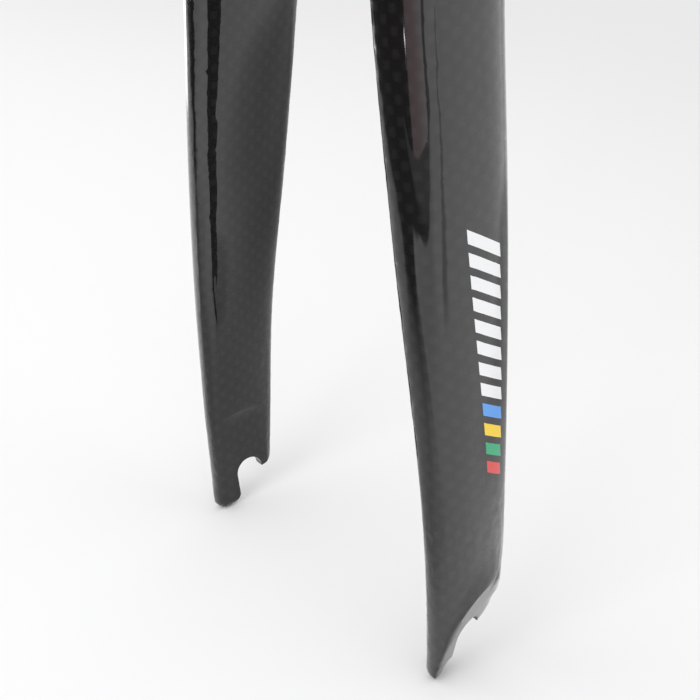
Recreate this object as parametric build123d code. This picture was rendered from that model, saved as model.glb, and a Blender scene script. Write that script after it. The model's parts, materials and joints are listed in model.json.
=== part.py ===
from build123d import *
from dataclasses import astuple, dataclass
from math import cos, radians, sin, tan
import os

# One-piece carbon road fork: steerer tube, crown, two straight raked blades and open dropouts.
# Millimetres. The origin is on the steerer axis at the crown race shoulder, +Z points up the
# steerer, +X forward and +Y to the rider's left.

# Where the wheel axle sits
AXLE_TO_CROWN = 368.0
RAKE = 43.0
HUB_WIDTH = 100.0

# Steerer tube and crown race seat
STEERER_D = 28.6
STEERER_WALL = 2.8
STEERER_LENGTH = 300.0
STEERER_CHAMFER = 0.8
STEERER_ROOT_WALL = 4.6
STEERER_ROOT_HEIGHT = 5.0
RACE_SEAT_D = 30.1
RACE_SEAT_HEIGHT = 6.5
RACE_SEAT_CHAMFER = 0.5
SHOULDER_D = 40.0
SHOULDER_HEIGHT = 2.0
SHOULDER_FLARE_DEPTH = 20.0
SHOULDER_FLARE_WIDTH = 11.0
SHOULDER_FLARE_LENGTH = 1.0
SHOULDER_WAIST_SHARE = 0.35

# Crown arch between the blades
ARCH_HALF_GAP = 27.5
CROWN_UNDERSIDE = 27.0
CROWN_CHORD = 46.0
CROWN_WALL = 4.0
SPRING_CHORD = 41.0
SPRING_THICKNESS = 18.5

# Brake bolt hole through the crown, with the wider nut hole at the back
BRAKE_BELOW_SHOULDER = 15.5
BRAKE_BOLT_D = 6.2
BRAKE_NUT_D = 8.1
BRAKE_BOLT_HOLE_LENGTH = 14.0
BRAKE_BOSS_D = 15.0

# Blade sections, by height above the axle
KNEE_HEIGHT = 225.0
KNEE_CHORD = 37.0
KNEE_THICKNESS = 16.2
KNEE_HALF_GAP = 28.5
SHIN_HEIGHT = 160.0
SHIN_CHORD = 34.2
SHIN_THICKNESS = 14.4
SHIN_HALF_GAP = 33.6
CALF_HEIGHT = 105.0
CALF_CHORD = 31.1
CALF_THICKNESS = 13.2
CALF_HALF_GAP = 40.8
ANKLE_HEIGHT = 60.0
ANKLE_CHORD = 25.9
ANKLE_THICKNESS = 12.1
ANKLE_HALF_GAP = 46.6
HEEL_HEIGHT = 22.0
HEEL_CHORD = 23.3
TIP_CHORD = 21.0
FOOT_THICKNESS = 10.4
FOOT_INNER_STOCK = 0.8
FOOT_SETBACK = 0.8
BLADE_LEAD = 1.9
BLADE_WALL = 2.2
BLADE_CAVITY_HEIGHT = 45.0

# Shape of a section: share of the chord before the thickest point, share of the thickness
# inside it, and how square the quarters are (0.55 is an ellipse)
NOSE_SHARE = 0.42
BLADE_INNER_SHARE = 0.24
BLADE_INNER_FULLNESS = 0.52
BLADE_OUTER_FULLNESS = 0.71
FOOT_INNER_SHARE = 0.42
FOOT_INNER_FULLNESS = 0.78
FOOT_OUTER_FULLNESS = 0.62

# Dropouts
SLOT_WIDTH = 9.2
DROPOUT_THICKNESS = 4.3
FRONT_LOBE_DROP = 10.2
FRONT_LOBE_ROUND = 5.5
FRONT_LOBE_LEAD_IN = 25.0
TOE_INNER_ROUND = 2.4
TOE_EDGE_ROUND = 2.0
REAR_LOBE_DROP = 0.3
REAR_LOBE_FLARE = 15.0
INNER_FLAT_HEIGHT = 32.0
INNER_FLAT_RUNOUT = 14.0
SCOOP_RADIUS = 80.0
SCOOP_COVE = 5.0
SCOOP_REACH = 10.8
SCOOP_TILT = 34.0
SCOOP_SLOPE = 24.0

# Sections that the loft of the limbs runs through: along each blade and round the arch
BLADE_STEPS = 18
ARCH_STEPS = 12

# How far cutting bodies run past what they cut
OVERCUT = 20.0

axle_z = -AXLE_TO_CROWN
tip_z = axle_z - FRONT_LOBE_DROP
half_hub = HUB_WIDTH / 2
half_slot = SLOT_WIDTH / 2
spring_z = -CROWN_UNDERSIDE - ARCH_HALF_GAP
crown_thickness = CROWN_UNDERSIDE - SHOULDER_HEIGHT
upright = (Align.CENTER, Align.CENTER, Align.MIN)
side_plane = Plane((RAKE, 0, axle_z), x_dir=(1, 0, 0), z_dir=(0, -1, 0))


def blade_x(z):
    """Fore-and-aft place of the straight blade axis, which starts at the steerer axis."""
    return -z * (RAKE + BLADE_LEAD) / AXLE_TO_CROWN


@dataclass
class Form:
    """Size and roundness of the egg-shaped section of a blade or the crown."""

    chord: float
    thickness: float
    half_gap: float
    setback: float = 0.0
    inner_share: float = BLADE_INNER_SHARE
    inner_fullness: float = BLADE_INNER_FULLNESS
    outer_fullness: float = BLADE_OUTER_FULLNESS

    def __add__(self, other):
        return Form(*(a + b for a, b in zip(astuple(self), astuple(other))))

    def __mul__(self, factor):
        return Form(*(a * factor for a in astuple(self)))


def foot(chord):
    """Form near the tip: a flatter inner side, with stock to cut the hub face from."""
    half_gap = half_hub - FOOT_INNER_STOCK
    roundness = (FOOT_INNER_SHARE, FOOT_INNER_FULLNESS, FOOT_OUTER_FULLNESS)
    return Form(chord, FOOT_THICKNESS, half_gap, FOOT_SETBACK, *roundness)


blade_forms = {
    tip_z - TOE_EDGE_ROUND: foot(TIP_CHORD),
    axle_z: foot(TIP_CHORD),
    axle_z + HEEL_HEIGHT: foot(HEEL_CHORD),
    axle_z + ANKLE_HEIGHT: Form(ANKLE_CHORD, ANKLE_THICKNESS, ANKLE_HALF_GAP),
    axle_z + CALF_HEIGHT: Form(CALF_CHORD, CALF_THICKNESS, CALF_HALF_GAP),
    axle_z + SHIN_HEIGHT: Form(SHIN_CHORD, SHIN_THICKNESS, SHIN_HALF_GAP),
    axle_z + KNEE_HEIGHT: Form(KNEE_CHORD, KNEE_THICKNESS, KNEE_HALF_GAP),
    spring_z: Form(SPRING_CHORD, SPRING_THICKNESS, ARCH_HALF_GAP),
}


def form_at(z):
    """Form of the left blade at a height, eased between the named ones by cubic curves."""
    heights = sorted(blade_forms)
    forms = [blade_forms[height] for height in heights]
    last = len(heights) - 1
    slopes = [forms[0] * 0]
    for k in range(1, last):
        rise = forms[k + 1] + forms[k - 1] * -1
        slopes.append(rise * (1 / (heights[k + 1] - heights[k - 1])))
    slopes.append(forms[last] * 0)
    k = max(number for number in range(last) if heights[number] <= z or number == 0)
    span = heights[k + 1] - heights[k]
    t = (z - heights[k]) / span
    value = forms[k] * (2 * t**3 - 3 * t**2 + 1) + forms[k + 1] * (3 * t**2 - 2 * t**3)
    bend = slopes[k] * (t**3 - 2 * t**2 + t) + slopes[k + 1] * (t**3 - t**2)
    return value + bend * span


def section(form, side, height, turn=0.0, wall=0.0):
    """Egg-shaped face across a blade or the crown, shrunk by a wall where it is hollow.

    side and height give a point of the inner face, and turn the lean of the outward direction
    above the horizontal: 0 on the left blade, 90 at the middle of the crown, 180 on the right.
    """
    outward = Vector(0, cos(radians(turn)), sin(radians(turn)))
    along = Vector(0, -sin(radians(turn)), cos(radians(turn)))
    centre = Vector(0, side, height) + outward * (form.thickness * form.inner_share)
    centre.X = blade_x(centre.Z) - form.setback + form.chord * (0.5 - NOSE_SHARE)
    front = form.chord * NOSE_SHARE - wall
    rear = form.chord * (1 - NOSE_SHARE) - wall
    inner = form.thickness * form.inner_share - wall
    outer = form.thickness * (1 - form.inner_share) - wall
    ends = [(front, outer), (-rear, outer), (-rear, -inner), (front, -inner)]
    quarters = []
    for number, (x, y) in enumerate(ends):
        full = form.outer_fullness if y > 0 else form.inner_fullness
        points = [(x, 0), (x, full * y), (full * x, y), (0, y)]
        quarters.append(Bezier(*(points if number % 2 == 0 else reversed(points))))
    return Plane(centre, x_dir=(1, 0, 0), z_dir=along) * make_face(quarters)


def blade_section(z, side, wall):
    """Section of the left (side 1) or right (side -1) blade."""
    form = form_at(z)
    return section(form, side * form.half_gap, z, 0 if side > 0 else 180, wall)


def arch_section(turn, wall):
    """Section of the arch, which thickens towards the crown's middle."""
    share = sin(radians(turn)) ** 2
    chord = SPRING_CHORD + (CROWN_CHORD - SPRING_CHORD) * share
    thickness = SPRING_THICKNESS + (crown_thickness - SPRING_THICKNESS) * share
    side = ARCH_HALF_GAP * cos(radians(turn))
    height = spring_z + ARCH_HALF_GAP * sin(radians(turn))
    thicker = (CROWN_WALL - BLADE_WALL) * share if wall else 0.0
    return section(Form(chord, thickness, ARCH_HALF_GAP), side, height, turn, wall + thicker)


def limbs(wall):
    """Both blades and the crown as one loft, from the left tip over the arch to the right tip."""
    bottom = min(blade_forms)
    heights = [bottom + (spring_z - bottom) * k / BLADE_STEPS for k in range(BLADE_STEPS)]
    turns = [180 * k / ARCH_STEPS for k in range(ARCH_STEPS + 1)]
    left = [blade_section(z, 1, wall) for z in heights]
    arch = [arch_section(turn, wall) for turn in turns]
    right = [blade_section(z, -1, wall) for z in reversed(heights)]
    return loft(left + arch + right)


def steerer():
    """Steerer tube, race seat and the flared shoulder that carries them on the crown."""
    tube = Cylinder(STEERER_D / 2, STEERER_LENGTH, align=upright)
    tube = chamfer(tube.edges().group_by(Axis.Z)[-1], STEERER_CHAMFER)
    seat = Cylinder(RACE_SEAT_D / 2, RACE_SEAT_HEIGHT, align=upright)
    seat = chamfer(seat.edges().group_by(Axis.Z)[-1], RACE_SEAT_CHAMFER)
    rings = []
    for depth, share in [(1, 1), (0.5, SHOULDER_WAIST_SHARE), (0, 0)]:
        length = SHOULDER_D / 2 + share * SHOULDER_FLARE_LENGTH
        width = SHOULDER_D / 2 + share * SHOULDER_FLARE_WIDTH
        z = -depth * SHOULDER_FLARE_DEPTH
        rings.append(Plane((blade_x(z), 0, z)) * Ellipse(length, width))
    return loft(rings) + seat + tube


def lobe_ends():
    """Rounded ends of the two lobes in side view, about the axle: rear lobe, sole and toe."""
    flare = radians(REAR_LOBE_FLARE)
    rear_edge = BLADE_LEAD - FOOT_SETBACK - TIP_CHORD / 2
    rear_round = (-rear_edge - half_slot) / cos(flare)
    rear_lobe = JernArc((-half_slot, -REAR_LOBE_DROP), (-1, 0), rear_round, REAR_LOBE_FLARE - 90)
    lead_in = radians(FRONT_LOBE_LEAD_IN)
    sole_drop = FRONT_LOBE_ROUND * (1 - sin(lead_in))
    sole_length = FRONT_LOBE_ROUND * cos(lead_in)
    sole_start = (half_slot, sole_drop - FRONT_LOBE_DROP)
    heading = (sin(lead_in), -cos(lead_in))
    sole = JernArc(sole_start, heading, FRONT_LOBE_ROUND, 90 - FRONT_LOBE_LEAD_IN)
    front_edge = blade_x(tip_z) - RAKE - FOOT_SETBACK + TIP_CHORD / 2
    toe = JernArc(sole @ 1, (1, 0), front_edge - half_slot - sole_length, 90)
    return rear_lobe, sole, toe


def stock():
    """Limbs with both tips cut to length, curved up at the toe and rounded all round."""
    toe = lobe_ends()[2]
    front = (toe @ 1).X + OVERCUT
    floor = (toe @ 0).Y
    below = floor - OVERCUT
    ahead = Polyline(toe @ 1, (front, (toe @ 1).Y), (front, below))
    behind = Polyline(ahead @ 1, (-OVERCUT, below), (-OVERCUT, floor), toe @ 0)
    air = extrude(side_plane * make_face([toe, ahead, behind]), HUB_WIDTH, both=True)
    long_limbs = limbs(0)
    cut_limbs = long_limbs - air
    return fillet(new_edges(long_limbs, air, combined=cut_limbs), TOE_EDGE_ROUND)


def tip_air():
    """Side outline of the air behind the front lobe, with the axle slot, about the axle."""
    rear_lobe, sole, _ = lobe_ends()
    far_rear = rear_lobe @ 1 + (rear_lobe % 1) * OVERCUT
    below = -FRONT_LOBE_DROP - OVERCUT
    seat = CenterArc((0, 0), half_slot, 0, 180)
    surround = Polyline(rear_lobe @ 1, far_rear, (far_rear.X, below), ((sole @ 1).X, below), sole @ 1)
    front_wall = Line(seat @ 0, sole @ 0)
    rear_wall = Line(seat @ 1, rear_lobe @ 0)
    return make_face([front_wall, sole, surround, rear_lobe, rear_wall, seat])


def air_between_hub_faces():
    """The hub's room between the dropouts, which runs out above them and rounds the toes below."""
    top = INNER_FLAT_HEIGHT
    ceiling = Line((0, top), (half_hub - INNER_FLAT_RUNOUT, top))
    runout = JernArc(ceiling @ 1, (1, 0), INNER_FLAT_RUNOUT, -90)
    hub_face = Line(runout @ 1, (half_hub, TOE_INNER_ROUND - FRONT_LOBE_DROP))
    toe_round = JernArc(hub_face @ 1, (0, -1), TOE_INNER_ROUND, 90)
    corner = toe_round @ 1
    below = corner.Y - OVERCUT
    rest = Polyline(corner, (corner.X, below), (0, below), (0, top))
    half = make_face([ceiling, runout, hub_face, toe_round, rest])
    front_plane = Plane((RAKE, 0, axle_z), x_dir=(0, 1, 0), z_dir=(1, 0, 0))
    return extrude(front_plane * (half + mirror(half, about=Plane.YZ)), TIP_CHORD, both=True)


def scoop():
    """Shallow conical recess in the left blade's outside, which thins the dropout to its rim."""
    tilt = radians(SCOOP_TILT)
    slope = radians(SCOOP_SLOPE)
    axle_radius = SCOOP_RADIUS - SCOOP_REACH
    centre_x = RAKE - sin(tilt) * axle_radius
    centre_z = axle_z - cos(tilt) * axle_radius
    centre = Vector(centre_x, half_hub + DROPOUT_THICKNESS - axle_radius * tan(slope), centre_z)
    rim = (SCOOP_RADIUS, SCOOP_RADIUS * tan(slope))
    floor = Line((0, 0), rim)
    cove = JernArc(rim, floor % 1, SCOOP_COVE, 90 - SCOOP_SLOPE)
    top = rim[1] + OVERCUT
    rest = Polyline(cove @ 1, ((cove @ 1).X, top), (0, top), (0, 0))
    profile = Plane(centre, x_dir=(1, 0, 0), z_dir=(0, 0, 1)) * make_face([floor, cove, rest])
    return revolve(profile, Axis(centre, (0, 1, 0)))


def brake_boss():
    """Solid round tunnel through the hollow crown for the brake bolt."""
    place = Plane((0, 0, -BRAKE_BELOW_SHOULDER), x_dir=(0, 1, 0), z_dir=(1, 0, 0))
    return extrude(place * Circle(BRAKE_BOSS_D / 2), CROWN_CHORD, both=True)


def brake_hole():
    """Bolt hole from the front and the wider nut hole from the back, on one axis."""
    front_x = blade_x(-BRAKE_BELOW_SHOULDER) + CROWN_CHORD / 2
    step_x = front_x - BRAKE_BOLT_HOLE_LENGTH
    place = Plane((step_x, 0, -BRAKE_BELOW_SHOULDER), x_dir=(0, 1, 0), z_dir=(1, 0, 0))
    bolt = extrude(place * Circle(BRAKE_BOLT_D / 2), BRAKE_BOLT_HOLE_LENGTH + OVERCUT)
    nut = extrude(place * Circle(BRAKE_NUT_D / 2), -CROWN_CHORD)
    return bolt + nut


def hollow():
    """Steerer bore, crown room and blade cavities, which open into each other."""
    floor = -CROWN_UNDERSIDE + crown_thickness / 2
    root = STEERER_D / 2 - STEERER_ROOT_WALL
    bore = STEERER_D / 2 - STEERER_WALL
    taper_top = STEERER_ROOT_HEIGHT + bore - root
    neck = Polyline((0, floor), (root, floor), (root, STEERER_ROOT_HEIGHT), (bore, taper_top))
    shaft = Polyline(neck @ 1, (bore, STEERER_LENGTH), (0, STEERER_LENGTH), (0, floor))
    tube_air = revolve(Plane.XZ * make_face([neck, shaft]), Axis.Z)
    solid_tips = Pos(RAKE, 0, axle_z + BLADE_CAVITY_HEIGHT) * Box(
        HUB_WIDTH, 2 * HUB_WIDTH, AXLE_TO_CROWN, align=(Align.CENTER, Align.CENTER, Align.MAX)
    )
    return limbs(BLADE_WALL) - solid_tips + tube_air


def fork():
    """The whole moulded body."""
    left_scoop = scoop()
    outside = stock() - air_between_hub_faces()
    outside = outside - left_scoop - mirror(left_scoop, about=Plane.XZ)
    outside = outside - extrude(side_plane * tip_air(), HUB_WIDTH, both=True)
    outside = outside + steerer()
    return outside - hollow() + (brake_boss() & outside) - brake_hole()


os.makedirs("parts", exist_ok=True)
export_step(fork(), "parts/fork.step")
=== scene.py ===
"""Looks of a moulded carbon road fork, laid out as an add-on and run as a script.

The frame gives the fork's solid. One operator dresses it in woven carbon under a gloss coat, with a
hatch of slanted bars on the outside of each blade. The other sets up the sheet, the light and the camera.
"""

import json
from math import cos, inf, pi, radians, sin, tan

import bmesh
import bpy
import numpy as np
from bpy.props import FloatProperty, FloatVectorProperty, IntProperty, PointerProperty
from mathutils import Matrix, Vector


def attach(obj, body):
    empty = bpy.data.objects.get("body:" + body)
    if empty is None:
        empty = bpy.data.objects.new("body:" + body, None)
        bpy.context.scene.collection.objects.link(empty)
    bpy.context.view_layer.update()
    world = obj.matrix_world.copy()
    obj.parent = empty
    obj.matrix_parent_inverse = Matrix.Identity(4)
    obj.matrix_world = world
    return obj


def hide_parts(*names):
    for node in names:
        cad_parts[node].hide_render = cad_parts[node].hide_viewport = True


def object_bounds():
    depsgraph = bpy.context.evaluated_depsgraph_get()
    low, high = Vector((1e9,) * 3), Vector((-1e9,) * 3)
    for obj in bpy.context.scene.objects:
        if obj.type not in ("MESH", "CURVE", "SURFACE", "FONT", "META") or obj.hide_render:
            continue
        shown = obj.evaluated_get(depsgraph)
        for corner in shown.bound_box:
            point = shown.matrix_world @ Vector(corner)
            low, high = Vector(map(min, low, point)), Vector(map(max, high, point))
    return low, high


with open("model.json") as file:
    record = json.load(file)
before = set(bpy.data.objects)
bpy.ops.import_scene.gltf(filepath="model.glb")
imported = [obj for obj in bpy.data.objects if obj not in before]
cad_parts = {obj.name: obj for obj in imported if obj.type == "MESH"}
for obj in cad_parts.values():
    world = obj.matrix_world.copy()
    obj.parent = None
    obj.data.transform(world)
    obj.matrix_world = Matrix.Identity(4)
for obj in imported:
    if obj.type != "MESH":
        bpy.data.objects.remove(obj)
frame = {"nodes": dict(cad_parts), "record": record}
cad_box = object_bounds()

bl_info = {
    "name": "Carbon fork looks",
    "version": (1, 0, 0),
    "blender": (4, 5, 0),
    "location": "View3D > Sidebar > Fork",
    "description": "Dresses a road bicycle fork in woven carbon and stands it on a white sheet",
    "category": "Object",
}

# Places and sizes from the frame, in metres
MOUNTS = {mount["name"]: mount for mount in frame["record"]["mounts"]}
CROWN_TOP = MOUNTS["crown_race_seat"]["pos_m"][2]
SEAT_HEIGHT = MOUNTS["crown_race_seat"]["dims"]["length_mm"] / 1000
STEERER_RADIUS = MOUNTS["steerer"]["dims"]["r_mm"] / 1000
FLOOR_Z = cad_box[0][2]
AXLE = Vector(MOUNTS["left_axle_slot"]["pos_m"]) * Vector((1, 0, 1))
HUB_FACE = MOUNTS["left_hub_face"]["pos_m"][1]

# Refining of the mesh: each pass halves the edges that are longer than its own length, in metres
WELD_DISTANCE = 1e-6
CREASE_ANGLE = radians(32)
FOOT_CREASE_ANGLE = radians(55)
BLADE_EDGES = (0.0012, 0.0018)
FOOT_EDGES = (0.0012, 0.0008)

# Curved patches that are fitted to the skin, with lengths in metres
PATCH_LEAST_FACING = 0.6
PATCH_FEWEST, PATCH_MOST = 15, 50
PATCH_CORE = 0.2
LARGEST_MOVE = 0.00015
FADE_IN = 0.015

# Sections that the cloth follows, from just above the toes
SECTIONS = 40
LOWEST_SECTION = 0.003

# Weave and hatch: the fibres are noise cells per metre, the nose's blend is in metres, the rest are shares
CROSSING_BLUR = 0.15
ACROSS_POWER, ALONG_POWER = 0.9, 0.4
FIBRES_ACROSS, FIBRES_ALONG = 9000, 500
NOISE_MIDDLE = 0.5
# The warp's share is a painted sheen on the crowns of the tows that lie on top; the fibre's and the cloud's
# shares vary the tone at random.
WARP_PAINTED_SHEEN, FIBRE_GLINT, CLOUD_GLINT = 0.8, 0.4, 0.3
WEFT_ROUGHNESS, FIBRE_ROUGHNESS, BARE_ROUGHNESS = 0.08, 0.1, 0.12
FIBRE_RELIEF = 0.3
BARE_LOSS = 0.85
NOSE_BLEND = 0.01
HALF_BAR = 0.5

# Edges of the painted dark and the painted light on the sheet where the gloss mirrors it, and of the
# painted shade towards its back, in metres ahead of the steerer and to its left
SKEW_BAND = (0, 0.3)
CORNER_BAND, CORNER_CUT = (0.6, 1.0), 0.42
RIGHT_BAND, RIGHT_REACH = (-0.22, -0.1), 0.13
EDGE_BLUR = (-0.1, 0.06)
BEYOND_BAND, BEYOND_GLOW = (0.9, 1.5), 0.35
WINDOW_AHEAD, WINDOW_LEFT = (0.12, 0.25), (-0.75, -0.6)
BACK_BAND = (-0.5, 0)

# Painted shade on that sheet where the gloss mirrors it, each place with the share of the brightness that
# it takes
SHADE_PLACE, SHADE_SIZE, SHADE_BLUR = (-0.2, 0.07), (0.17, 0.13), (0.3, 1.6)
SPOT_PLACE, SPOT_SIZE, SPOT_BLUR, SPOT_LOSS = (0.03, 0.07), (0.03, 0.02), (0.3, 1.8), 0.35
INNER_BAND, INNER_LOSS = (0.02, 0.09), 0.35
FRONT_BAND, FRONT_LOSS = (0.1, 0.45), 0.3
GAP_SLOPE, GAP_START, GAP_BLUR = 0.345, 0.185, (0.02, 0.1)
GAP_BAND, GAP_LOSS = (0.45, 0.6), 0.5
LANE_RIGHT, LANE_LEFT = (-0.14, -0.08), (0.09, 0.16)
LANE_NEAR, LANE_NEAR_LOSS = (0.07, 0.13), 0.28
LANE_FAR, LANE_FAR_LOSS = (0.2, 0.36), 0.3

# Room that the gloss mirrors: bands of the parts of a ray's direction, and the lamp's half widths
PALE_BAND = (-0.75, 1.25)
WALL_BAND, WALL_LEAST = (0, 0.06), 0.45
POST_BAND, POST_SIDE, POST_LOSS = (0.03, 0.08), (0, 0.5), 0.8
LAMP_HEIGHT_BAND = (0.0005, 0.002)
LAMP_OUTER, LAMP_INNER = radians(3), radians(2)
TINT_BAND = (0.2, 0.65)


class CarbonSettings(bpy.types.PropertyGroup):
    """Woven carbon and its gloss coat."""

    tow_width: FloatProperty(
        name="Tow width",
        description="Width of one tow of the plain weave",
        default=0.0023,
        unit="LENGTH",
    )
    crown_depth: FloatProperty(
        name="Crown depth",
        description="How far below the crown race the cloth of the crown runs",
        default=0.055,
        unit="LENGTH",
    )
    foot_height: FloatProperty(
        name="Foot height",
        description="How far above the axle the edges of the dropouts reach",
        default=0.040,
        unit="LENGTH",
    )
    rim_height: FloatProperty(
        name="Rim height",
        description="How far above the axle the outer rims of the dropouts are softened",
        default=0.018,
        unit="LENGTH",
    )
    rim_depth: FloatProperty(
        name="Rim depth",
        description="How far outside the hub faces the softened rims begin",
        default=0.0025,
        unit="LENGTH",
    )
    slot_edge: FloatProperty(
        name="Slot edge",
        description="Distance from the axle within which the edges of the slots stay crisp",
        default=0.0049,
        unit="LENGTH",
    )
    toe_start: FloatProperty(
        name="Toe start",
        description="How far in front of the axle the softened toes begin",
        default=0.0075,
        unit="LENGTH",
    )
    toe_depth: FloatProperty(
        name="Toe depth",
        description="How far outside the hub faces the softened toes begin",
        default=0.0004,
        unit="LENGTH",
    )
    rounding: IntProperty(
        name="Rounding",
        description="How many times the outer edges of the feet are softened",
        default=5,
    )
    resin_colour: FloatVectorProperty(
        name="Resin colour",
        description="Dark of the resin and of the tows that dive under",
        default=(0.0060, 0.0057, 0.0058),
        subtype="COLOR",
    )
    # The cloth takes this grey where its painted sheen and its random tone are strongest.
    fibre_colour: FloatVectorProperty(
        name="Fibre colour",
        description="Grey of the tows that lie on top",
        default=(0.0150, 0.0143, 0.0146),
        subtype="COLOR",
    )
    steerer_colour: FloatVectorProperty(
        name="Steerer colour",
        description="Grey of the uncoated steerer",
        default=(0.022, 0.022, 0.023),
        subtype="COLOR",
    )
    fibre_roughness: FloatProperty(
        name="Fibre roughness",
        description="Roughness of the cloth under the coat",
        default=0.34,
        subtype="FACTOR",
    )
    # Painted shade: a weaker coat gloss on the insides of the blades, which darkens what they mirror.
    inner_gloss_shade: FloatProperty(
        name="Inner gloss shade",
        description="How much weaker the coat's gloss is on the insides of the blades",
        default=0.2,
        subtype="FACTOR",
    )
    coat_roughness: FloatProperty(
        name="Coat roughness",
        description="Roughness of the gloss coat",
        default=0.03,
        subtype="FACTOR",
    )


class GraphicSettings(bpy.types.PropertyGroup):
    """Hatch of slanted bars on the outside of each blade."""

    top: FloatProperty(
        name="Top",
        description="Height of the hatch's upper end above the axle",
        default=0.109,
        unit="LENGTH",
    )
    pitch: FloatProperty(
        name="Pitch",
        description="Distance from one bar to the next",
        default=0.0052,
        unit="LENGTH",
    )
    bars: IntProperty(name="Bars", description="How many bars each hatch has", default=12)
    fill: FloatProperty(
        name="Fill",
        description="Share of the pitch that a bar fills",
        default=0.62,
        subtype="FACTOR",
    )
    nose_offset: FloatProperty(
        name="Nose offset",
        description="Distance from the blade's nose to the hatch",
        default=0.0165,
        unit="LENGTH",
    )
    width: FloatProperty(
        name="Width",
        description="Width of the longest bar",
        default=0.0085,
        unit="LENGTH",
    )
    narrowing: FloatProperty(
        name="Narrowing",
        description="Share of its width that the hatch loses",
        default=0.6,
        subtype="FACTOR",
    )
    slant: FloatProperty(
        name="Slant",
        description="Slant of the bars",
        default=radians(38),
        subtype="ANGLE",
    )
    bar_colour: FloatVectorProperty(
        name="Bar colour",
        description="Paint of the plain bars",
        default=(0.83, 0.84, 0.86),
        subtype="COLOR",
    )
    first_accent: FloatVectorProperty(
        name="First accent",
        description="Paint of one coloured bar",
        default=(0.09, 0.32, 0.80),
        subtype="COLOR",
    )
    second_accent: FloatVectorProperty(
        name="Second accent",
        description="Paint of one coloured bar",
        default=(0.90, 0.62, 0.02),
        subtype="COLOR",
    )
    third_accent: FloatVectorProperty(
        name="Third accent",
        description="Paint of one coloured bar",
        default=(0.01, 0.36, 0.16),
        subtype="COLOR",
    )
    fourth_accent: FloatVectorProperty(
        name="Fourth accent",
        description="Paint of one coloured bar",
        default=(0.68, 0.04, 0.04),
        subtype="COLOR",
    )


class StudioSettings(bpy.types.PropertyGroup):
    """Sheet, light and camera."""

    sheet_radius: FloatProperty(
        name="Sheet radius",
        description="Half the width of the sheet",
        default=6.0,
        unit="LENGTH",
    )
    sheet_colour: FloatVectorProperty(
        name="Sheet colour",
        description="White of the sheet",
        default=(0.91, 0.91, 0.91),
        subtype="COLOR",
    )
    # Painted shade: the sheet's white darkens towards the back.
    sheet_back_shade: FloatProperty(
        name="Sheet back shade",
        description="Share of its white that the sheet loses towards the back",
        default=0.13,
        subtype="FACTOR",
    )
    # Painted light and shade of the sheet where the gloss mirrors it: painted dark in front, a painted glow
    # and painted shade round the fork.
    sheet_front: FloatProperty(
        name="Sheet front",
        description="How far in front of the steerer the gloss still mirrors a white sheet",
        default=0.42,
        unit="LENGTH",
    )
    sheet_skew: FloatProperty(
        name="Sheet skew",
        description="How much further the white sheet reaches on the fork's left",
        default=0.5,
        unit="LENGTH",
    )
    sheet_glow: FloatProperty(
        name="Sheet glow",
        description="Brightness of the sheet's lit part where the gloss mirrors it",
        default=1.6,
    )
    sheet_shade: FloatProperty(
        name="Sheet shade",
        description="Share of that brightness which the sheet loses round the fork",
        default=0.55,
        subtype="FACTOR",
    )
    room_dark: FloatProperty(
        name="Dark of the room",
        description="Light that comes from the dark front of the room",
        default=0.05,
    )
    room_light: FloatProperty(
        name="Light of the room",
        description="Light that comes from the pale back of the room",
        default=2.0,
    )
    # Painted pool of light on the sheet's right, seen only where the gloss mirrors the sheet.
    window_light: FloatProperty(
        name="Light of the window",
        description="Light that comes along the sheet from the fork's right",
        default=3.0,
    )
    room_heading: FloatProperty(
        name="Room heading",
        description="Direction of the room's palest wall, from forward to the left",
        default=radians(155),
        subtype="ANGLE",
    )
    room_tint: FloatVectorProperty(
        name="Room tint",
        description="Warm tint of the room's darker walls",
        default=(1.0, 0.74, 0.76),
        subtype="COLOR",
    )
    wall_heading: FloatProperty(
        name="Wall heading",
        description="Direction where the room's dark gives way to its pale walls, from forward to the left",
        default=radians(36),
        subtype="ANGLE",
    )
    post_heading: FloatProperty(
        name="Post heading",
        description="Direction of a dark upright in the room, from forward to the left",
        default=radians(86),
        subtype="ANGLE",
    )
    lamp_heading: FloatProperty(
        name="Lamp heading",
        description="Direction of a small bright lamp, from forward to the left",
        default=radians(35),
        subtype="ANGLE",
    )
    lamp_rise: FloatProperty(
        name="Lamp rise",
        description="Height of the small lamp above the horizon",
        default=radians(2.1),
        subtype="ANGLE",
    )
    lamp_light: FloatProperty(
        name="Lamp light",
        description="Brightness of the small lamp where the gloss mirrors it",
        default=30.0,
    )
    backdrop: FloatProperty(
        name="Backdrop",
        description="Brightness of the backdrop where the camera sees it",
        default=0.9,
    )
    fill_light: FloatProperty(
        name="Fill light",
        description="Even light from all round on matt surfaces",
        default=1.0,
    )
    key_power: FloatProperty(
        name="Key light",
        description="Power of the soft light",
        default=3.5,
        unit="POWER",
    )
    key_size: FloatProperty(
        name="Key size",
        description="Width of the soft light",
        default=0.7,
        unit="LENGTH",
    )
    key_place: FloatVectorProperty(
        name="Key place",
        description="Place of the soft light from the axle",
        default=(1.0, 0.2, 0.9),
        subtype="TRANSLATION",
    )
    camera_place: FloatVectorProperty(
        name="Camera place",
        description="Place of the camera from the middle of the axle",
        default=(0.15093, 0.23990, 0.21250),
        subtype="TRANSLATION",
    )
    camera_heading: FloatProperty(
        name="Heading",
        description="Turn of the camera about the upright",
        default=radians(33.906),
        subtype="ANGLE",
    )
    camera_tilt: FloatProperty(
        name="Tilt",
        description="How far down the camera looks",
        default=radians(28.07),
        subtype="ANGLE",
    )
    camera_roll: FloatProperty(
        name="Roll",
        description="Roll of the camera about its own line",
        default=radians(-6.591),
        subtype="ANGLE",
    )
    camera_lens: FloatProperty(
        name="Lens",
        description="Focal length on a 36 mm sensor",
        default=61.73,
        subtype="DISTANCE_CAMERA",
    )


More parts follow.
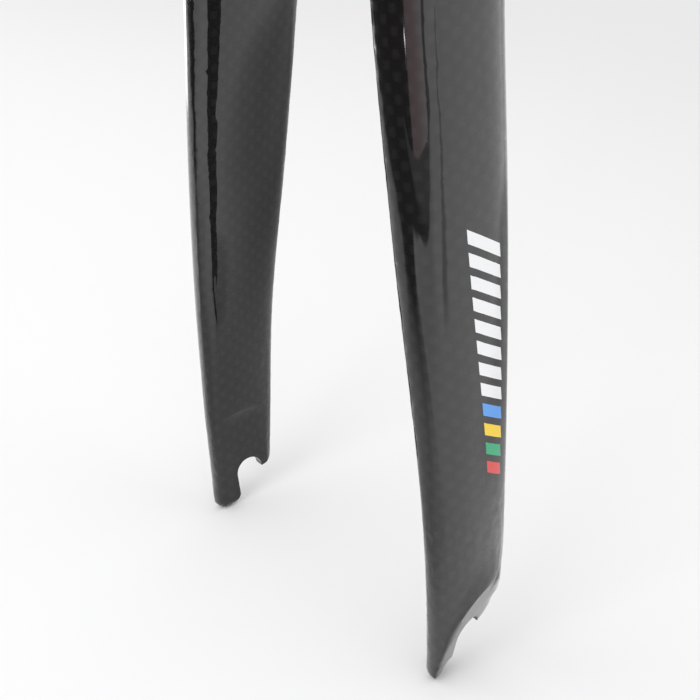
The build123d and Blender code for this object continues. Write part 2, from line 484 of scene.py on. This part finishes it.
class Wire:
    """One socket of a node tree, on which arithmetic adds Math nodes."""

    def __init__(self, shader, socket):
        self.shader = shader
        self.socket = socket

    def math(self, operation, *values):
        return self.shader.node("ShaderNodeMath", {"operation": operation}, dict(enumerate(values)))

    def __add__(self, other):
        return self.math("ADD", self, other)

    __radd__ = __add__

    def __sub__(self, other):
        return self.math("SUBTRACT", self, other)

    def __rsub__(self, other):
        return self.math("SUBTRACT", other, self)

    def __mul__(self, other):
        return self.math("MULTIPLY", self, other)

    __rmul__ = __mul__

    def __truediv__(self, other):
        return self.math("DIVIDE", self, other)

    def __pow__(self, other):
        return self.math("POWER", self, other)

    def __gt__(self, other):
        return self.math("GREATER_THAN", self, other)

    def __lt__(self, other):
        return self.math("LESS_THAN", self, other)

    def __abs__(self):
        return self.math("ABSOLUTE", self)

    def sine(self):
        return self.math("SINE", self)

    def floor(self):
        return self.math("FLOOR", self)

    def fraction(self):
        return self.math("FRACT", self)

    def between(self, low, high):
        return (self > low) * (self < high)

    def rise(self, low, high):
        """0 below low, 1 above high and a smooth step between them."""
        settings = {"interpolation_type": "SMOOTHSTEP"}
        band = {"Value": self, "From Min": low, "From Max": high}
        return self.shader.node("ShaderNodeMapRange", settings, band)


class Shader:
    """A node tree that is emptied and built up again from wires."""

    def __init__(self, tree):
        self.tree = tree
        tree.nodes.clear()

    def node(self, kind, settings=None, inputs=None, output=0):
        """Adds a node, applies its settings, then fills or links its sockets."""
        node = self.tree.nodes.new(kind)
        for name, value in (settings or {}).items():
            if name == "stops":
                self.ramp(node, value)
            else:
                setattr(node, name, value)
        for key, value in (inputs or {}).items():
            if isinstance(value, Wire):
                self.tree.links.new(value.socket, node.inputs[key])
            else:
                node.inputs[key].default_value = value
        return Wire(self, node.outputs[output]) if node.outputs else None

    @staticmethod
    def ramp(node, stops):
        """Gives a ramp its stops, each a place and a colour that holds up to the next."""
        node.color_ramp.interpolation = "CONSTANT"
        elements = node.color_ramp.elements
        while len(elements) < len(stops):
            elements.new(1)
        for element, (place, colour) in zip(elements, stops):
            element.position = place
            element.color = (*colour, 1)

    def mix(self, share, one, other):
        """Colour that goes from one to the other as the share goes from 0 to 1."""
        colours = {"Factor": share, 6: one, 7: other}
        return self.node("ShaderNodeMix", {"data_type": "RGBA"}, colours, output=2)

    def parts(self, vector):
        """The three numbers of a vector."""
        return [self.node("ShaderNodeSeparateXYZ", {}, {0: vector}, output=axis) for axis in range(3)]

    def scaled(self, vector, scale):
        """The vector with each of its three numbers multiplied."""
        return self.node("ShaderNodeVectorMath", {"operation": "MULTIPLY"}, {0: vector, 1: scale})

    def strands(self, cloth, across, along):
        """Noise in fine strands on the cloth, with so many cells per metre each way."""
        inputs = {"Vector": self.scaled(cloth, (across, along, 1)), "Scale": 1.0, "Detail": 2.0}
        return self.node("ShaderNodeTexNoise", {"noise_dimensions": "2D"}, inputs)


def opaque(colour):
    """A colour with its alpha, as a shader socket takes it."""
    return (*colour, 1)


def weave(shader, cloth, carbon):
    """Plain weave: how much warp shows on top, the relief of the tows and their fine fibres."""
    tows = 1 / carbon.tow_width
    across, along, _ = shader.parts(shader.scaled(cloth, (tows, tows, 1)))
    across_tow, along_tow = (across * pi).sine(), (along * pi).sine()
    warp = (across_tow * along_tow).rise(-CROSSING_BLUR, CROSSING_BLUR)
    relief = abs(across_tow) ** ACROSS_POWER * abs(along_tow) ** ALONG_POWER
    warp_fibre = shader.strands(cloth, FIBRES_ACROSS, FIBRES_ALONG)
    weft_fibre = shader.strands(cloth, FIBRES_ALONG, FIBRES_ACROSS)
    fibre = warp_fibre * warp + weft_fibre * (1 - warp)
    return warp, relief, fibre


def hatch(shader, cloth, graphic):
    """Mask and paint of the slanted bars, which narrow towards the foot of the blade."""
    girth, height, _ = shader.parts(cloth)
    offset = girth - graphic.nose_offset
    step = (AXLE.z + graphic.top - height - offset * tan(graphic.slant)) / graphic.pitch
    number = step.floor()
    width = graphic.width - number * (graphic.width * graphic.narrowing / graphic.bars)
    inside = number.between(-HALF_BAR, graphic.bars - HALF_BAR) * (step.fraction() < graphic.fill)
    mask = inside * (offset > 0) * (offset < width)
    accents = [graphic.first_accent, graphic.second_accent, graphic.third_accent, graphic.fourth_accent]
    stops = [(0, graphic.bar_colour)]
    for place, accent in enumerate(accents, graphic.bars - len(accents)):
        stops.append(((place - HALF_BAR) / graphic.bars, accent))
    paint = shader.node("ShaderNodeValToRGB", {"stops": stops}, {0: number / graphic.bars})
    return mask, paint


def carbon_material(carbon, graphic):
    """Woven carbon and the bars under a gloss coat, with a satin steerer."""
    material = bpy.data.materials.new("woven_carbon")
    material.use_nodes = True
    shader = Shader(material.node_tree)
    cloth = shader.node("ShaderNodeUVMap", {"uv_map": "cloth"})
    place = shader.node("ShaderNodeTexCoord", output=3)
    height = shader.parts(place)[2]
    warp, relief, fibre = weave(shader, cloth, carbon)
    painted, paint = hatch(shader, cloth, graphic)
    bare = height.rise(CROWN_TOP, CROWN_TOP + SEAT_HEIGHT)
    blade = 1 - height.rise(CROWN_TOP - carbon.crown_depth * 2, CROWN_TOP - carbon.crown_depth)
    # Painted shade: the coat's gloss is weakened on the insides of the blades, to darken their reflections.
    inside = (shader.parts(cloth)[0] * -1).rise(0, NOSE_BLEND) * blade
    cloud = shader.node("ShaderNodeTexNoise", {}, {"Vector": place, "Scale": 60.0, "Detail": 3.0})
    fibre_swing, cloud_swing = fibre - NOISE_MIDDLE, cloud - NOISE_MIDDLE
    # Painted sheen on the crowns of the warp, with random tone from the fibres and the clouds, lightens the
    # tows from the resin's dark towards the fibre's grey.
    painted_sheen_and_tone = warp * relief * WARP_PAINTED_SHEEN + fibre_swing * FIBRE_GLINT + cloud_swing * CLOUD_GLINT
    tows = shader.mix(painted_sheen_and_tone, opaque(carbon.resin_colour), opaque(carbon.fibre_colour))
    tows = shader.mix(bare, tows, opaque(carbon.steerer_colour))
    roughness = carbon.fibre_roughness + (1 - warp) * WEFT_ROUGHNESS
    roughness = roughness + fibre_swing * FIBRE_ROUGHNESS + bare * BARE_ROUGHNESS
    profile = (relief + fibre * FIBRE_RELIEF) * (1 - painted)
    bump = {"Strength": 0.25, "Distance": 0.0001, "Height": profile}
    surface = {
        "Base Color": shader.mix(painted, tows, paint),
        "Roughness": roughness,
        "Normal": shader.node("ShaderNodeBump", {}, bump),
        "Specular IOR Level": 0.06,
        "Coat Weight": 1 - bare * BARE_LOSS - inside * carbon.inner_gloss_shade,
        "Coat Roughness": carbon.coat_roughness,
        "Coat IOR": 1.5,
    }
    skin = shader.node("ShaderNodeBsdfPrincipled", {}, surface)
    shader.node("ShaderNodeOutputMaterial", {}, {"Surface": skin})
    return material


def fair_patch(place, normal, points):
    """Rise and normal, at a place on the skin, of the curved patch that fits the points round it best."""
    across = normal.orthogonal().normalized()
    along = normal.cross(across)
    steps = points - np.array(place)
    size = np.linalg.norm(steps, axis=1).mean()
    u, v, rise = np.array([across, along, normal]) @ steps.T / size
    nearness = 1 / (PATCH_CORE + np.hypot(u, v))
    terms = [u**3, u * u * v, u * v * v, v**3, u * u, u * v, v * v, u, v, np.ones(len(points))]
    fit = np.linalg.lstsq((terms * nearness).T, rise * nearness, rcond=1e-3)[0]
    *_, slope_u, slope_v, offset = fit
    return offset * size, (normal - across * slope_u - along * slope_v).normalized()


def edges_within(shape, low, high):
    """Edges of a shape that lie between two heights."""
    return [edge for edge in shape.edges if all(low < vertex.co.z < high for vertex in edge.verts)]


def refine(shape, edges, length):
    """Halves those of the edges that are longer than a length."""
    long_edges = [edge for edge in edges if edge.calc_length() > length]
    bmesh.ops.subdivide_edges(shape, edges=long_edges, cuts=1)
    bmesh.ops.triangulate(shape, faces=shape.faces)


def is_soft(place, carbon):
    """Whether a place lies on an outer rim or a toe, clear of the hub faces and of the slots."""
    ahead, up = place.x - AXLE.x, place.z - AXLE.z
    depth = abs(place.y) - HUB_FACE
    rim = depth > carbon.rim_depth and up < carbon.rim_height and max(abs(ahead), up) > carbon.slot_edge
    toe = depth > carbon.toe_depth and up < 0 and ahead > carbon.toe_start
    return rim or toe


def round_feet(shape, carbon):
    """Refines the feet and softens their outer edges."""
    feet = (-inf, AXLE.z + carbon.foot_height)
    for length in FOOT_EDGES:
        refine(shape, edges_within(shape, *feet), length)
    soft = [vertex for vertex in shape.verts if is_soft(vertex.co, carbon)]
    axes = {"use_axis_x": True, "use_axis_y": True, "use_axis_z": True}
    for _ in range(carbon.rounding):
        bmesh.ops.smooth_vert(shape, verts=soft, factor=0.5, **axes)
    for edge in edges_within(shape, *feet):
        edge.smooth = edge.calc_face_angle(pi) < FOOT_CREASE_ANGLE


def smooth_skin(mesh, carbon):
    """Halves the blades' long triangles and lays the skin on its true curves, for a clean gloss."""
    shape = bmesh.new()
    shape.from_mesh(mesh)
    points = np.array([vertex.co for vertex in shape.verts])
    facing = np.array([vertex.normal for vertex in shape.verts])
    rings = [{edge.other_vert(vertex).index for edge in vertex.link_edges} for vertex in shape.verts]
    pairs = [ring.union(*(rings[number] for number in ring)) for ring in rings]
    areas = [pair.union(*(rings[number] for number in pair)) for pair in pairs]
    low, high = AXLE.z + carbon.foot_height, CROWN_TOP - carbon.crown_depth
    for length in BLADE_EDGES:
        blades = edges_within(shape, low, high)
        for edge in blades:
            edge.smooth = True
        refine(shape, blades, length)
        shape.verts.index_update()
        known = len(areas)
        for vertex in list(shape.verts)[known:]:
            ends = {edge.other_vert(vertex).index for edge in vertex.link_edges}
            areas.append(set().union(*(areas[number] for number in ends if number < known)))
    shape.normal_update()
    normals = {}
    for vertex in shape.verts:
        near = np.array(sorted(areas[vertex.index]))
        near = near[facing[near] @ np.array(vertex.normal) > PATCH_LEAST_FACING]
        near = near[np.linalg.norm(points[near] - np.array(vertex.co), axis=1).argsort()[:PATCH_MOST]]
        curved = all(edge.smooth for edge in vertex.link_edges)
        if curved and vertex.co.z > low and len(near) > PATCH_FEWEST:
            rise, fair = fair_patch(vertex.co, vertex.normal, points[near])
            share = min((vertex.co.z - low) / FADE_IN, 1)
            normals[vertex.index] = vertex.normal.lerp(fair, share).normalized()
            if vertex.index >= len(points) and abs(rise) < LARGEST_MOVE:
                vertex.co += vertex.normal * rise
    round_feet(shape, carbon)
    shape.to_mesh(mesh)
    shape.free()
    unset = Vector((0, 0, 0))
    mesh.normals_split_custom_set([normals.get(loop.vertex_index, unset) for loop in mesh.loops])


def nose_line(points, edges, side, heights):
    """Foremost point of one blade's section at each height, as rows of x and y."""
    ends = points[edges]
    rows = []
    for height in heights:
        over = ends[:, :, 2] - height
        cut = (over[:, 0] * over[:, 1] < 0) & (ends[:, 0, 1] * side > 0)
        share = over[cut, 0] / (over[cut, 0] - over[cut, 1])
        section = ends[cut, 0] + share[:, None] * (ends[cut, 1] - ends[cut, 0])
        rows.append(section[section[:, 0].argmax(), :2])
    return np.array(rows)


def lay_cloth(mesh, carbon):
    """Writes the UV map that the weave follows: girth from the nose and height, both in metres."""
    points = np.array([vertex.co for vertex in mesh.vertices])
    edges = np.array([edge.vertices for edge in mesh.edges])
    crown_foot = CROWN_TOP - carbon.crown_depth
    heights = np.linspace(FLOOR_Z + LOWEST_SECTION, crown_foot, SECTIONS)
    noses = {side: nose_line(points, edges, side, heights) for side in (-1, 1)}
    cloth = mesh.uv_layers.new(name="cloth")
    for face in mesh.polygons:
        corners = list(face.loop_indices)
        x, y, z = points[[mesh.loops[corner].vertex_index for corner in corners]].T
        side = 1 if face.center.y > 0 else -1
        if face.center.z > CROWN_TOP:
            girth = STEERER_RADIUS * np.arctan2(y * side, x) * side
        elif face.center.z > crown_foot:
            girth = y if abs(face.normal.x) > abs(face.normal.y) else x
        else:
            nose_x = np.interp(z, heights, noses[side][:, 0])
            nose_y = np.interp(z, heights, noses[side][:, 1])
            outer = (face.center.y - nose_y.mean()) * side > 0
            girth = np.hypot(nose_x - x, y - nose_y) * (1 if outer else -1)
        for corner, place in zip(corners, zip(girth, z)):
            cloth.data[corner].uv = place


class FORK_OT_body(bpy.types.Operator):
    """Dress the fork's solid in woven carbon under a gloss coat"""

    bl_idname = "fork.body"
    bl_label = "Carbon body"

    def execute(self, context):
        carbon = context.scene.fork_carbon
        mesh = frame["nodes"]["fork"].data.copy()
        shape = bmesh.new()
        shape.from_mesh(mesh)
        bmesh.ops.remove_doubles(shape, verts=shape.verts, dist=WELD_DISTANCE)
        shape.to_mesh(mesh)
        shape.free()
        mesh.shade_smooth()
        mesh.set_sharp_from_angle(angle=CREASE_ANGLE)
        smooth_skin(mesh, carbon)
        lay_cloth(mesh, carbon)
        mesh.materials.clear()
        mesh.materials.append(carbon_material(carbon, context.scene.fork_graphic))
        body = bpy.data.objects.new("carbon_body", mesh)
        context.scene.collection.objects.link(body)
        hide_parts("fork")
        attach(body, "root")
        return {"FINISHED"}


def oval(ahead, left, place, size, blur):
    """Mask of a soft oval on the sheet."""
    along, across = (ahead - place[0]) / size[0], (left - place[1]) / size[1]
    return 1 - (along * along + across * across).rise(*blur)


def mirrored_sheet(ahead, left, studio):
    """Painted brightness of the sheet where the gloss mirrors it: a painted glow, painted dark past its
    edges, painted shade round the fork and a painted pool of window light.
    """
    skew = left.rise(*SKEW_BAND) * studio.sheet_skew
    reach = studio.sheet_front + skew - left.rise(*CORNER_BAND) * CORNER_CUT
    reach = reach + (1 - left.rise(*RIGHT_BAND)) * RIGHT_REACH
    beyond = (ahead - reach).rise(*EDGE_BLUR)
    gap = (1 - abs(ahead + left * GAP_SLOPE - GAP_START).rise(*GAP_BLUR)) * left.rise(*GAP_BAND)
    lane = left.rise(*LANE_RIGHT) * (1 - left.rise(*LANE_LEFT))
    lane_loss = ahead.rise(*LANE_NEAR) * LANE_NEAR_LOSS + ahead.rise(*LANE_FAR) * LANE_FAR_LOSS
    losses = [
        oval(ahead, left, SHADE_PLACE, SHADE_SIZE, SHADE_BLUR) * studio.sheet_shade,
        oval(ahead, left, SPOT_PLACE, SPOT_SIZE, SPOT_BLUR) * SPOT_LOSS,
        (1 - left.rise(*INNER_BAND)) * INNER_LOSS,
        ahead.rise(*FRONT_BAND) * FRONT_LOSS,
        gap * GAP_LOSS,
        lane * lane_loss,
    ]
    # Painted glow of the sheet, less the painted dark past its edges and each painted shade
    bright = (1 - beyond) * studio.sheet_glow
    for loss in losses:
        bright = bright * (1 - loss)
    # Painted pool of window light on the sheet's right
    window = (1 - ahead.rise(*WINDOW_AHEAD)) * (1 - left.rise(*WINDOW_LEFT)) * studio.window_light
    return bright + window + beyond * left.rise(*BEYOND_BAND) * BEYOND_GLOW + studio.room_dark


def sheet_material(studio):
    """Matt white sheet with painted shade towards the back; where the gloss mirrors it, it shows painted
    light and shade of its own.
    """
    material = bpy.data.materials.new("white_sheet")
    material.use_nodes = True
    shader = Shader(material.node_tree)
    ahead, left, _ = shader.parts(shader.node("ShaderNodeTexCoord", output=3))
    # Painted shade towards the back of the sheet
    back = (1 - ahead.rise(*BACK_BAND)) * studio.sheet_back_shade
    white = shader.mix(back, opaque(studio.sheet_colour), (0, 0, 0, 1))
    mirrored = shader.node("ShaderNodeLightPath", output="Is Glossy Ray")
    colour = shader.mix(mirrored, white, mirrored_sheet(ahead, left, studio))
    matt = shader.node("ShaderNodeBsdfDiffuse", {}, {"Color": colour})
    shader.node("ShaderNodeOutputMaterial", {}, {"Surface": matt})
    return material


def light_room(world, studio):
    """Room that the gloss mirrors, dark in front and pale at the back, with even light on matt surfaces."""
    world.use_nodes = True
    shader = Shader(world.node_tree)
    ahead, left, up = shader.parts(shader.node("ShaderNodeTexCoord", output=0))

    def towards(heading):
        return ahead * cos(heading) + left * sin(heading)

    pale = towards(studio.room_heading).rise(*PALE_BAND)
    wall = towards(studio.wall_heading + pi / 2).rise(*WALL_BAND)
    post = 1 - abs(towards(studio.post_heading - pi / 2)).rise(*POST_BAND)
    level = 1 - abs(up - sin(studio.lamp_rise)).rise(*LAMP_HEIGHT_BAND)
    lamp = level * towards(studio.lamp_heading).rise(cos(LAMP_OUTER), cos(LAMP_INNER))
    walls = wall * (WALL_LEAST + pale * (1 - WALL_LEAST)) * (1 - post * left.rise(*POST_SIDE) * POST_LOSS)
    room = walls * studio.room_light + studio.room_dark + lamp * studio.lamp_light
    tint = shader.mix(pale.rise(*TINT_BAND) + lamp, opaque(studio.room_tint), (1, 1, 1, 1))
    seen = shader.node("ShaderNodeLightPath", output="Is Camera Ray")
    mirrored = shader.node("ShaderNodeLightPath", output="Is Glossy Ray")
    plain = studio.fill_light + seen * (studio.backdrop - studio.fill_light)
    colour = shader.mix(mirrored, (1, 1, 1, 1), tint)
    strength = plain + mirrored * (room - plain)
    light = shader.node("ShaderNodeBackground", {}, {"Color": colour, "Strength": strength})
    shader.node("ShaderNodeOutputWorld", {}, {"Surface": light})


def place_camera(scene, studio):
    """Camera at the photograph's viewing angle."""
    heading, tilt = studio.camera_heading, studio.camera_tilt
    line = Vector((-sin(heading) * cos(tilt), -cos(heading) * cos(tilt), -sin(tilt)))
    right = Vector((-cos(heading), sin(heading), 0))
    level = Matrix((right, right.cross(line), -line)).transposed()
    turn = level @ Matrix.Rotation(studio.camera_roll, 3, "Z")
    camera = bpy.data.objects.new("camera", bpy.data.cameras.new("camera"))
    camera.data.lens = studio.camera_lens
    camera.data.clip_start = 0.01
    camera.matrix_world = Matrix.Translation(AXLE + Vector(studio.camera_place)) @ turn.to_4x4()
    scene.collection.objects.link(camera)
    scene.camera = camera


class FORK_OT_stage(bpy.types.Operator):
    """Stand the fork on a white sheet, light it softly and place the camera"""

    bl_idname = "fork.stage"
    bl_label = "Sheet, light and camera"

    def execute(self, context):
        scene = context.scene
        studio = scene.fork_studio
        scene.view_settings.view_transform = "Standard"
        shape = bmesh.new()
        bmesh.ops.create_circle(
            shape,
            cap_ends=True,
            segments=96,
            radius=studio.sheet_radius,
            matrix=Matrix.Translation((0, 0, FLOOR_Z)),
        )
        mesh = bpy.data.meshes.new("sheet")
        shape.to_mesh(mesh)
        shape.free()
        mesh.materials.append(sheet_material(studio))
        sheet = bpy.data.objects.new("sheet", mesh)
        scene.collection.objects.link(sheet)
        scene.world = bpy.data.worlds.new("room")
        light_room(scene.world, studio)
        lamp = bpy.data.lights.new("key_light", "AREA")
        lamp.energy = studio.key_power
        lamp.size = studio.key_size
        key = bpy.data.objects.new("key_light", lamp)
        aim = Vector(studio.key_place)
        turn = aim.to_track_quat("Z", "Y").to_matrix().to_4x4()
        key.matrix_world = Matrix.Translation(AXLE + aim) @ turn
        scene.collection.objects.link(key)
        place_camera(scene, studio)
        return {"FINISHED"}


class FORK_PT_looks(bpy.types.Panel):
    """Panel that lists the fork's operators and settings"""

    bl_idname = "FORK_PT_looks"
    bl_label = "Fork looks"
    bl_space_type = "VIEW_3D"
    bl_region_type = "UI"
    bl_category = "Fork"

    def draw(self, context):
        for operator, settings in LISTED:
            column = self.layout.column()
            column.operator(operator)
            for name in settings:
                group = getattr(context.scene, name)
                for field in group.__annotations__:
                    column.prop(group, field)


LISTED = [("fork.body", ["fork_carbon", "fork_graphic"]), ("fork.stage", ["fork_studio"])]
SETTINGS = {
    "fork_carbon": CarbonSettings,
    "fork_graphic": GraphicSettings,
    "fork_studio": StudioSettings,
}
CLASSES = [*SETTINGS.values(), FORK_OT_body, FORK_OT_stage, FORK_PT_looks]


def register():
    for one in CLASSES:
        bpy.utils.register_class(one)
    for name, group in SETTINGS.items():
        setattr(bpy.types.Scene, name, PointerProperty(type=group))


def unregister():
    for name in SETTINGS:
        delattr(bpy.types.Scene, name)
    for one in reversed(CLASSES):
        bpy.utils.unregister_class(one)


def main():
    register()
    bpy.ops.fork.body()
    bpy.ops.fork.stage()


if __name__ == "__main__":
    main()
